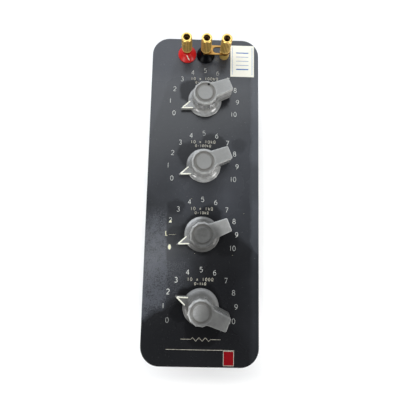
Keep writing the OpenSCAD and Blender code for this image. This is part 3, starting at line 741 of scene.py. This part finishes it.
def glossOf(i, x, y, z, soil):
    # polish, which also carries the painted blue-grey reflection: all below the top, less where soiled and shaded,
    # and little on the near left of the fourth knob
    kept = 1 - (0.7 if i < 2 else 0.95) * soil
    return (1 - easeStep(z, 17.5, 20.0)) * kept * (1 - 0.8 * (i == 3) * easeStep(-0.87 * x - 0.5 * y, 8, 13))


grid, ends, wear, grime = knobSection(knob)
knobPoints = np.concatenate([grid.reshape(-1, 3), ends])
nv, nu = grid.shape[:2]
knobFaces = gridFaces(nv, nu).tolist() + poleFaces(nv, nu, nv * nu, nv * nu + 1)
linePoints, lineFaces = pointerLines(knob, pointerLine)
for i, dial in enumerate(dialNames):
    angle = startAngle - stepAngle * dialShown[i]
    placed = turned(knobPoints, angle, 0, dialY[i])
    x, y, z = placed[:, 0] / mm, (placed[:, 1] - dialY[i]) / mm, knobPoints[:, 2]
    soil = soilOf(i, x, y, z)
    # paleness: worn edges and painted highlights, less where there is dirt and painted shade
    pale = np.maximum(wear, paleOf(i, x, z)) * (1 - 0.6 * soil)
    marks = {"wear": pale, "grime": grime, "gloss": glossOf(i, x, y, z, soil), "soil": soil}
    piece = addPiece("knobBody%d" % (i + 1), placed, knobFaces, dial, knobPlastic,
                     stored=marks)
    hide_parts("knob_%d" % (i + 1))
    lines = turned(linePoints, angle, 0, dialY[i])
    addPiece("pointerLines%d" % (i + 1), lines, lineFaces, dial, pointerPaint, outward=True)
print("knobs made:", nv, "rows of", nu)

# a crumb of dirt in the first knob's groove
chip = {"at": (2.9, 8.5), "half": (1.1, 0.85), "low": 21.2, "high": 22.28}
points, faces = flatPatch(bow(*chip["at"], *chip["half"], 0, 340), chip["low"], chip["high"])
points = turned(points, 0, 0, dialY[0])
addPiece("grooveCrumb", points, faces, "dial_1", chipDirt, smooth=False, outward=True)


grub = {"radius": 1.9, "from": 3.2, "to": 9.1, "across": 1.0, "socket": 1.6, "around": 48}


def grubScrew(s):
    # a plug turned about its axis, from the back over the front to the bottom of the socket, whose six
    # flats stand at half the width across them, over the cosine of the angle from each flat's middle
    a = np.arange(s["around"]) / s["around"] * 2 * np.pi
    flat = s["across"] / np.cos((a + np.pi / 6) % (np.pi / 3) - np.pi / 6)
    wall, back, front = s["radius"], s["from"], s["to"]
    steps = [(0.6 * wall, back), (wall, back + 0.6), (wall, front - 0.35), (wall - 0.3, front),
             (flat + 0.12, front), (flat, front - 0.15), (flat, front - s["socket"])]
    rows = [np.stack([np.full_like(a, along), r * np.cos(a), r * np.sin(a)], -1) for r, along in steps]
    ends = np.array([[back, 0, 0], [front - s["socket"] - 0.3, 0, 0]])
    nv, nu = len(rows), s["around"]
    return np.concatenate(rows + [ends]), gridFaces(nv, nu).tolist() + poleFaces(nv, nu, nv * nu, nv * nu + 1)


screwPoints, screwFaces = grubScrew(grub)
screwPoints[:, 2] += knob["holeZ"]
for i, dial in enumerate(dialNames):
    angle = startAngle - stepAngle * dialShown[i]
    pair = [(turned(screwPoints, angle + side, 0, dialY[i]), screwFaces) for side in (90, -90)]
    points, faces = joined(pair)
    piece = addPiece("grubScrews%d" % (i + 1), points, faces, dial, slotFinish["steel"],
                     smooth=False, outward=True)
    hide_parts("set_screws_%d" % (i + 1))
print("grub screws made")


def underFoot(node):
    # the middle of the node's underside, and its height in millimetres
    low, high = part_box(node)
    return np.array([(low.x + high.x) / 2, (low.y + high.y) / 2, low.z]), (high.z - low.z) / mm


thumb = {"outer": 5.05, "bore": 3.06, "flutes": 20, "depth": 0.7, "cut": 0.8, "perFlute": 14,
         "threadPitch": 0.8, "threadDepth": 0.28}


def thumbNut(s, h):
    # a sleeve of height h whose section is closed on itself, with the dirt and painted shade at each point: down
    # the outside, which is chamfered by the cut at both ends and waved between them by a raised cosine, then up
    # the threaded bore
    n = s["flutes"] * s["perFlute"]
    a = np.arange(n) / n * 2 * np.pi
    wave = (0.5 - 0.5 * np.cos(a * s["flutes"])) ** 1.6
    o, b, c = s["outer"], s["bore"], s["cut"]
    steps = [(b + 0.6, h, 0.0), (o - c, h, 0.0), (o - 0.5 * c, h - 0.42 * c, 0.0),
             (o - 0.06, h - 0.95 * c, 0.05), (o, h - 1.2 * c, 0.05)]
    fluted = [np.linspace(h - 1.5 * c, h - 2.6 * c, 4), np.linspace(h - 3.4 * c, 2.8, 8),
              np.linspace(2.5, 1.3, 4)]
    for z in np.concatenate(fluted):
        cut = wave * easeStep(z, 1.2, 2.2) * (1 - easeStep(z, h - 2.6 * c, h - 1.4 * c))
        steps.append((o - s["depth"] * cut, z, 0.15 + 0.85 * cut))
    steps += [(o, 1.1 * c, 0.1), (o - 0.06, 0.9 * c, 0.1), (o - 0.5 * c, 0.42 * c, 0.1), (o - c, 0.0, 0.3)]
    for i, z in enumerate(np.arange(0.0, h - 0.4, s["threadPitch"] / 2)):
        steps.append((b + s["threadDepth"] * (i % 2), z + 0.05, 0.9))
    steps.append((b + 0.05, h - 0.35, 0.4))
    grid = np.stack([np.stack([r * np.cos(a), r * np.sin(a), np.full(n, z)], -1) for r, z, dirt in steps])
    return grid, np.concatenate([dirt * np.ones(n) for r, z, dirt in steps])


for name in ("red", "black", "ground"):
    foot, h = underFoot(name + "_thumb_nut")
    grid, grime = thumbNut(thumb, h)
    faces = gridFaces(*grid.shape[:2], wrapV=True)
    piece = addPiece(name + "ThumbNut", grid * mm + foot, faces, name + "_nut", flutedGilt,
                     stored={"grime": grime}, outward=True)
    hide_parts(name + "_thumb_nut")
print("thumb nuts made")


# insulators: a turned section with a short upright rim, a hollow-sided cone and a rounded neck
insulator = {"foot": 9.25, "rim": 1.3, "rimRound": 0.25, "neck": 5.15, "neckOut": 0.1, "neckDown": 0.35,
             "bore": 3.05, "hollow": 0.55, "around": 96}
# white mark down the front of the red cone: a strip that widens towards the rim
coneMark = {"from": 1.0, "to": 0.17, "turn": (-93, -72), "half": (0.4, 0.52), "lift": 0.07, "sink": 0.3,
            "steps": 14}


def flank(s, h, t):
    # the cone from the rim (t 0) to the neck (t 1): a straight slope, hollowed by half a sine wave
    r = (s["foot"] - s["rimRound"]) * (1 - t) + (s["neck"] + s["neckOut"]) * t
    z = (s["rim"] + s["rimRound"]) * (1 - t) + (h - s["neckDown"]) * t
    return r - s["hollow"] * np.sin(np.pi * t), z


def cone(s, h):
    # from the bore over the neck, down the flank and the rim, and back under the foot to the bore
    flankR, flankZ = flank(s, h, np.linspace(1, 0, 16))
    neck, foot, bore = s["neck"], s["foot"], s["bore"]
    r = [bore, neck - 0.5, neck - 0.12, *flankR, foot, foot, foot - 0.2, bore]
    return ringGrid(r, [h, h, h - 0.1, *flankZ, s["rim"], 0.25, 0.0, 0.0], s["around"])


def coneStrip(s, h):
    # a strip on the flank that turns about the axis as it goes down: four points across at each step
    n = s["steps"]
    r, z = flank(insulator, h, np.linspace(s["from"], s["to"], n))
    turn = np.radians(np.linspace(*s["turn"], n))
    narrow, broad = s["half"]
    halves = [narrow, narrow, broad, 0.8 * broad, 0.15]
    wide = np.interp(np.arange(n), [0, 4, n - 3, n - 2, n - 1], halves) / r
    rows = []
    for side, up in ((1, -s["sink"]), (1, s["lift"]), (-1, s["lift"]), (-1, -s["sink"])):
        a = turn + side * wide
        rows.append(np.stack([(r + up) * np.cos(a), (r + up) * np.sin(a), z + 0.6 * up], -1))
    ends = [[0, 1, 2, 3], [4 * n - 1, 4 * n - 2, 4 * n - 3, 4 * n - 4]]
    return np.stack(rows, 1), gridFaces(n, 4).tolist() + ends


for name, finish in (("red", redGloss), ("black", blackGloss)):
    foot, h = underFoot(name + "_insulator")
    grid = cone(insulator, h)
    faces = gridFaces(*grid.shape[:2], wrapV=True)
    piece = addPiece(name + "Insulator", grid * mm + foot, faces, "box", finish,
                     outward=True)
    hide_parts(name + "_insulator")
foot, h = underFoot("red_insulator")
grid, faces = coneStrip(coneMark, h)
addPiece("redConeMark", grid * mm + foot, faces, "box", pointerPaint, outward=True)
softCopy("shorting_link", "shortingLink", 0.25, "link", giltBrass)
softCopy("ground_collar", "groundCollar", 0.3, "box", collarGilt)
softCopy("front_panel", "frontPanel", 0.35, "box", panelPaint)
print("posts and panel made")


def pen(*points):
    # straight strokes cut into short steps
    p = np.array(points, float)
    return np.concatenate([np.linspace(p[i], p[i + 1], 7)[(1 if i else 0):] for i in range(len(p) - 1)])


def onPanel(points):
    # millimetres on the panel's top to metres
    return np.asarray(points) * mm + np.array([0, 0, panelTop])


def addPrint(name, parts, finish, stored=None):
    # strips and patches joined into one piece on the panel
    points, faces = joined(parts)
    addPiece(name, onPanel(points), faces, "box", finish, smooth=False, outward=True, stored=stored)


# engraved figures: each glyph is a few pen strokes in a box 0.6 wide and 1 high; O is the sign for ohms
glyphs = {
    "0": [bow(0.3, 0.5, 0.28, 0.5, 90, 450, 34)],
    "1": [pen((0.3, 0.0), (0.3, 1.0))],
    "2": [[*bow(0.3, 0.72, 0.27, 0.28, 165, -30, 20), *pen((0.5, 0.54), (0.02, 0.0), (0.58, 0.0))]],
    "3": [[*bow(0.29, 0.75, 0.23, 0.25, 150, -90, 18), *bow(0.29, 0.26, 0.28, 0.26, 88, -150, 20)]],
    "4": [pen((0.44, 0.0), (0.44, 1.0), (0.0, 0.3), (0.6, 0.3))],
    "5": [[*pen((0.52, 1.0), (0.1, 1.0), (0.06, 0.54)), *bow(0.28, 0.32, 0.28, 0.32, 130, -140, 22)]],
    "6": [[*bow(0.58, 0.34, 0.55, 0.64, 100, 180, 12), *bow(0.3, 0.3, 0.27, 0.3, 170, 540, 28)]],
    "7": [pen((0.02, 1.0), (0.58, 1.0), (0.2, 0.0))],
    "8": [bow(0.3, 0.76, 0.22, 0.24, 270, 630, 26), bow(0.3, 0.26, 0.28, 0.26, 90, 450, 28)],
    "9": [[*bow(0.02, 0.66, 0.55, 0.64, 280, 360, 12), *bow(0.3, 0.7, 0.27, 0.3, -10, 360, 28)]],
    "x": [pen((0.06, 0.12), (0.54, 0.7)), pen((0.06, 0.7), (0.54, 0.12))],
    "-": [pen((0.08, 0.42), (0.52, 0.42))],
    "k": [pen((0.1, 0.0), (0.1, 1.0)), pen((0.48, 0.66), (0.12, 0.32)), pen((0.24, 0.44), (0.52, 0.0))],
    "O": [[*pen((0.02, 0.0), (0.22, 0.0)), *bow(0.3, 0.58, 0.28, 0.42, 240, -60, 30),
           *pen((0.38, 0.0), (0.58, 0.0))]],
}
sink, rise = 0.05, 0.05  # how far print reaches into the panel and stands up from it
strokeStep, strokeClimb = 0.012, 0.03  # how much higher each stroke starts, and how far it climbs
figure = {"ring": 33.4, "high": 4.6, "half": 0.23, "advance": 0.92, "tenAdvance": 0.72,
          "nudge": {1: -1.5, 10: -1.5}}
# how far the paint of some figures has gone, and the half widths of strokes that are filled more heavily,
# by dial
faded = [{3: 0.25, 4: 0.2, 5: 0.4, 6: 0.45}, {1: 0.2, 2: 0.2, 5: 0.4, 6: 0.1}, {10: 0.4},
         {0: 0.65, 6: 0.25, 7: 0.45, 8: 0.55, 9: 0.5, 10: 0.5}]
bold = [{}, {}, {}, {2: 0.34, 3: 0.33, 4: 0.26}]
legend = {"half": 0.21, "advance": 0.98,
          "lines": [{"high": 2.9, "x": -0.8, "up": 24.4}, {"high": 2.4, "x": -0.7, "up": 20.4}]}
legendText = [("10 x 100kO", "0-1000kO"), ("10 x 10kO", "0-100kO"), ("10 x 1kO", "0-10kO"),
              ("10 x 100O", "0-1kO")]


def lettering(text, x, y, s):
    # a line of glyphs centred on x, y
    h = s["high"]
    width = (len(text) - 1) * s["advance"] * h + 0.6 * h
    parts = []
    for i, c in enumerate(text):
        if c == " ":
            continue
        corner = np.array([x - width / 2 + i * s["advance"] * h, y - h / 2])
        for j, path in enumerate(glyphs[c]):  # each stroke climbs a little, so crossings don't share a face
            climb = rise + strokeStep * j + strokeClimb * np.linspace(0, 1, len(path))
            parts.append(pathSolid(np.array(path) * h + corner, s["half"], -sink, climb))
    return parts


def figurePlace(dial, n):
    # figure n stands on a ring about its dial, one step further round for each figure
    a = np.radians(startAngle - stepAngle * n)
    x, y = figure["ring"] * np.cos(a), figure["ring"] * np.sin(a)
    return np.array([x + figure["nudge"].get(n, 0.0), dialY[dial] / mm + y])


figureParts, legendParts, figureFade = [], [], []
for i in range(len(dialNames)):
    for n in range(11):
        style = dict(figure, half=bold[i].get(n, figure["half"]))
        if n == 10:
            style["advance"] = figure["tenAdvance"]
        strokes = lettering(str(n), *figurePlace(i, n), style)
        figureParts += strokes
        figureFade += [np.full(len(points), faded[i].get(n, 0.0)) for points, faces in strokes]
    for text, line in zip(legendText[i], legend["lines"]):
        legendParts += lettering(text, line["x"], dialY[i] / mm + line["up"], dict(legend, high=line["high"]))
# old touch-up paint: a filled 0, the foot of a 2 and a runny 1 on the third dial, and a few stray specks
blots = {"dial": 2, "rise": 0.08, "thin": 0.06,
         "foot": [(-0.28, -0.46), (0.28, -0.46), (0.24, -0.2), (0.06, 0.04), (-0.08, -0.06), (-0.26, -0.34)],
         "runs": [(0.42, [(0.1, 2.2), (-0.15, 0.6), (0.2, -0.8), (-0.1, -2.1)]),
                  (0.3, [(-0.3, -1.9), (1.6, -2.2)])],
         "scratch": (0.06, [(2.6, -0.9), (5.2, -1.2), (9.6, -0.8)]),
         "specks": [(-10.9, -6.3, 0.24), (-6.7, -58.8, 0.26), (40.3, -19.7, 0.2), (29.7, -59.6, 0.2)]}
h = figure["high"]
noughtAt, oneAt, twoAt = (figurePlace(blots["dial"], n) for n in range(3))
blotParts = [flatPatch(bow(0, 0, 0.27 * h, 0.5 * h, 0, 350, 36) + noughtAt, -sink, blots["rise"]),
             flatPatch(np.array(blots["foot"]) * h + twoAt, -sink, blots["rise"])]
blotParts += [pathSolid(pen(*run) + oneAt, half, -sink, blots["rise"]) for half, run in blots["runs"]]
half, run = blots["scratch"]
blotParts.append(pathSolid(pen(*run) + oneAt, half, -sink, blots["thin"]))
for x, y, r in blots["specks"]:
    blotParts.append(flatPatch(bow(x, y, r, r * 0.8, 0, 330, 12), -sink, blots["thin"]))
addPrint("touchUpPaint", blotParts, blotPaint)
addPrint("dialFigures", figureParts, figurePaint, {"fade": np.concatenate(figureFade)})
addPrint("dialLegends", legendParts, legendPaint)
print("figures made:", len(figureParts) + len(legendParts), "strokes")


# foot of the panel: a pale rule, a plain red badge in a pale frame and the circuit sign of a resistor; at
# the posts the sign of earth
mark = {"rule": [(-31.1, -145.45), (31.9, -145.45)], "ruleHalf": 0.2, "frameHalf": 0.22, "frameRise": 0.07,
        "badge": [(21.9, -158.7), (31.4, -158.7), (31.4, -146.2), (21.9, -146.2)],
        "badgeInset": 0.3, "badgeRise": 0.04,
        "sign": (0.7, -136.3), "signWide": 37.0, "signHalf": 0.17, "zigStep": 3.0, "zigHigh": 1.6,
        "earth": (11.0, 139.6), "earthStem": 1.8, "earthStep": 1.1, "earthBars": (2.2, 1.4, 0.6),
        "earthHalf": 0.16, "stemRise": 0.06}
lines = [pathSolid(pen(*mark["rule"]), mark["ruleHalf"], -sink, rise)]
corners = np.array(mark["badge"])
for a, b in zip(corners, np.roll(corners, -1, axis=0)):
    lines.append(pathSolid(pen(a, b), mark["frameHalf"], -sink, mark["frameRise"]))
wide, step = mark["signWide"] / 2, mark["zigStep"]
zig = [(step * (j - 2.5), mark["zigHigh"] * (-1) ** j) for j in range(6)]
sign = pen((-wide, 0), (-3 * step, 0), *zig, (3 * step, 0), (wide, 0)) + np.array(mark["sign"])
lines.append(pathSolid(sign, mark["signHalf"], -sink, rise))
x, y = mark["earth"]
earth = [pathSolid(pen((x, y + mark["earthStem"]), (x, y)), mark["earthHalf"], -sink, mark["stemRise"])]
for j, reach in enumerate(mark["earthBars"]):
    down = y - mark["earthStep"] * j
    earth.append(pathSolid(pen((x - reach, down), (x + reach, down)), mark["earthHalf"], -sink, rise))
addPrint("earthSign", earth, faintPaint)
addPrint("footRules", lines, legendPaint)
inward = np.sign(corners.mean(0) - corners) * mark["badgeInset"]
addPrint("redBadge", [flatPatch(corners + inward, -sink, mark["badgeRise"])], badgePaint)
print("foot of the panel made")


# paper label: a thin sheet with its corners a little lifted, and plain blue print
label = {"steps": 24, "thick": 0.2, "lift": 0.05, "printSink": 0.05, "printRise": 0.04,
         "tickX": 10.2, "tickY": 14.5, "ticks": 30, "tickReach": 0.55, "tickHalf": 0.22,
         "ruleReach": 6.5, "rules": [(9.0, 0.55), (4.5, 0.2), (0.0, 0.2), (-4.5, 0.2), (-9.0, 0.55)]}


def paperSheet(s, low, high):
    # two square grids and a wall round them; the upper one rises towards its corners by the fourth power of
    # u times v
    n = s["steps"]
    u, v = np.meshgrid(np.linspace(-1, 1, n), np.linspace(-1, 1, n), indexing="ij")
    x, y = (low.x + high.x + u * (high.x - low.x)) / 2, (low.y + high.y + v * (high.y - low.y)) / 2
    top = low.z + (s["thick"] + s["lift"] * (u * v) ** 4) * mm
    points = np.concatenate([np.stack([x, y, z], -1).reshape(-1, 3) for z in (top, np.full_like(x, low.z))])
    number = np.arange(n * n).reshape(n, n)
    upper = np.stack([number[:-1, :-1], number[1:, :-1], number[1:, 1:], number[:-1, 1:]], -1).reshape(-1, 4)
    rim = np.concatenate([number[:, 0], number[-1, 1:], number[-2::-1, -1], number[0, -2:0:-1]])
    onward = np.roll(rim, -1)
    wall = np.stack([rim, rim + n * n, onward + n * n, onward], -1)
    return points, np.concatenate([upper, upper[:, ::-1] + n * n, wall]).tolist()


low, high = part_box("paper_label")
points, faces = paperSheet(label, low, high)
piece = addPiece("paperLabel", points, faces, "box", slotFinish["paper"], smooth=False, outward=True)
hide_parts("paper_label")
labelAt = np.array([(low.x + high.x) / 2 / mm, (low.y + high.y) / 2 / mm])
layer = (label["thick"] - label["printSink"], label["thick"] + label["printRise"])
ticks = []
for side in (-label["tickX"], label["tickX"]):
    for t in np.linspace(-label["tickY"], label["tickY"], label["ticks"]):
        tick = pen((side - label["tickReach"], t), (side + label["tickReach"], t))
        ticks.append(pathSolid(tick + labelAt, label["tickHalf"], *layer))
addPrint("labelTicks", ticks, paleBluePrint)
rules = []
for t, half in label["rules"]:
    rules.append(pathSolid(pen((-label["ruleReach"], t), (label["ruleReach"], t)) + labelAt, half, *layer))
addPrint("labelRules", rules, bluePrint)
print("label made")


# floor, light and camera, in metres
stage = {"floor": 6.0, "drop": 0.0003, "white": 0.15}


def floorFinish():
    # pale paper that is a little whiter to the camera and in reflections
    m = Finish("floorPaper")
    m.surface(Base_Color=m.mix(m.noise(m.place(), 3), (0.95, 0.94, 0.92), (0.97, 0.96, 0.94)), Roughness=0.9)
    seen, gloss, through = (m.node("ShaderNodeLightPath", out="Is %s Ray" % kind)
                            for kind in ("Camera", "Glossy", "Transmission"))
    share = (seen + gloss + through).clamped() * stage["white"]
    paper = Sock(m.tree, m.shader.outputs[0])
    blend = m.node("ShaderNodeMixShader", {}, {0: share, 1: paper, 2: m.node("ShaderNodeEmission")})
    m.put(m.tree.nodes["Material Output"].inputs["Surface"], blend)
    return m.material


half = stage["floor"] / 2
corners = [(-half, -half), (half, -half), (half, half), (-half, half)]
floorMesh = bpy.data.meshes.new("floor")
floorMesh.from_pydata([(x, y, -stage["drop"]) for x, y in corners], [], [(0, 1, 2, 3)])
floorMesh.materials.append(floorFinish())
floorPiece = bpy.data.objects.new("floor", floorMesh)
bpy.context.scene.collection.objects.link(floorPiece)

# a pale, slightly blue room, brightest behind the posts and dim on the near side: brightness by direction,
# from 0 at the near side to 1 at the far side; the camera sees plain white
room = {"scale": 2.6, "tint": (0.94, 0.98, 1.05),
        "levels": [(0.0, 0.22), (0.2, 0.16), (0.29, 0.04), (0.4, 0.012), (0.47, 0.05), (0.53, 0.14),
                   (0.6, 0.25), (0.76, 0.42), (0.9, 0.42), (1.0, 0.35)]}
world = bpy.data.worlds.new("studio")
bpy.context.scene.world = world
world.use_nodes = True
sky = Nodes(world.node_tree)
way = sky.axis(sky.node("ShaderNodeTexCoord", out="Generated"), "Y") * 0.5 + 0.5
stops = [(at, tuple(level * c for c in room["tint"])) for at, level in room["levels"]]
light = sky.node("ShaderNodeValToRGB", {"stops": stops}, {"Fac": way}, out="Color")
seen = sky.node("ShaderNodeLightPath", out="Is Camera Ray")
background = sky.tree.nodes["Background"]
sky.put(background.inputs["Color"], sky.mix(seen, light, (1.0, 1.0, 1.0)))
sky.put(background.inputs["Strength"], room["scale"] - seen * (room["scale"] - 1.0))

warm, cool, cold = (1.0, 0.99, 0.97), (0.92, 0.96, 1.0), (0.9, 0.95, 1.0)
middle = (0.0, 0.0, 0.09)  # of the box, where a lamp without an aim points
lamps = {
    "window": {"at": (-0.16, 0.36, 0.54), "size": (0.7, 0.53), "power": 2.4, "colour": cold},
    "nearRight": {"at": (0.76, -0.41, 0.27), "size": (0.42, 0.56), "power": 4.5, "colour": warm},
    "nearLeft": {"at": (-0.62, -0.54, 0.26), "size": (0.36, 0.46), "power": 3.4, "colour": warm},
    "over": {"at": (-0.185, -0.165, 1.0), "size": (0.1, 0.24), "power": 0.5, "colour": cool},
    # these three only light the floor beside and in front of the box
    "floorRight": {"at": (0.21, 0.03, 0.3), "size": (0.05, 0.46), "power": 0.64, "colour": warm,
                   "aim": (0.21, 0.03, 0.0), "spread": 55},
    "floorLeft": {"at": (-0.2, -0.02, 0.3), "size": (0.05, 0.36), "power": 0.3, "colour": warm,
                  "aim": (-0.2, -0.02, 0.0), "spread": 55},
    "floorNear": {"at": (0.0, -0.335, 0.3), "size": (0.5, 0.02), "power": 1.0, "colour": warm,
                  "aim": (0.0, -0.335, 0.0), "spread": 44},
}
for name, s in lamps.items():
    lamp = bpy.data.lights.new(name, "AREA")
    lamp.shape = "RECTANGLE"
    lamp.size, lamp.size_y = s["size"]
    lamp.energy, lamp.color, lamp.spread = s["power"], s["colour"], np.radians(s.get("spread", 180))
    lampPiece = bpy.data.objects.new(name, lamp)
    lampPiece.location = s["at"]
    beam = Vector(s.get("aim", middle)) - Vector(s["at"])
    lampPiece.rotation_euler = beam.to_track_quat("-Z", "Y").to_euler()
    bpy.context.scene.collection.objects.link(lampPiece)

# place in metres, turn about x, y and z in degrees, and focal length and middle of the picture in pixels
view = {"at": (-0.008797, -0.028665, 0.391243), "turn": (7.239, -0.817, 1.32),
        "focal": 302.23, "middle": (197.47, 183.28), "frame": 400, "sensor": 36.0}
camera = bpy.data.cameras.new("camera")
camera.sensor_width = view["sensor"]
camera.lens = view["focal"] / view["frame"] * view["sensor"]
camera.shift_x = 0.5 - view["middle"][0] / view["frame"]
camera.shift_y = view["middle"][1] / view["frame"] - 0.5
camera.clip_start = 0.01
cameraPiece = bpy.data.objects.new("camera", camera)
bpy.context.scene.collection.objects.link(cameraPiece)
cameraPiece.location = view["at"]
cameraPiece.rotation_euler = np.radians(view["turn"])
bpy.context.scene.camera = cameraPiece
bpy.context.scene.view_settings.view_transform = "Standard"
print("stage made")
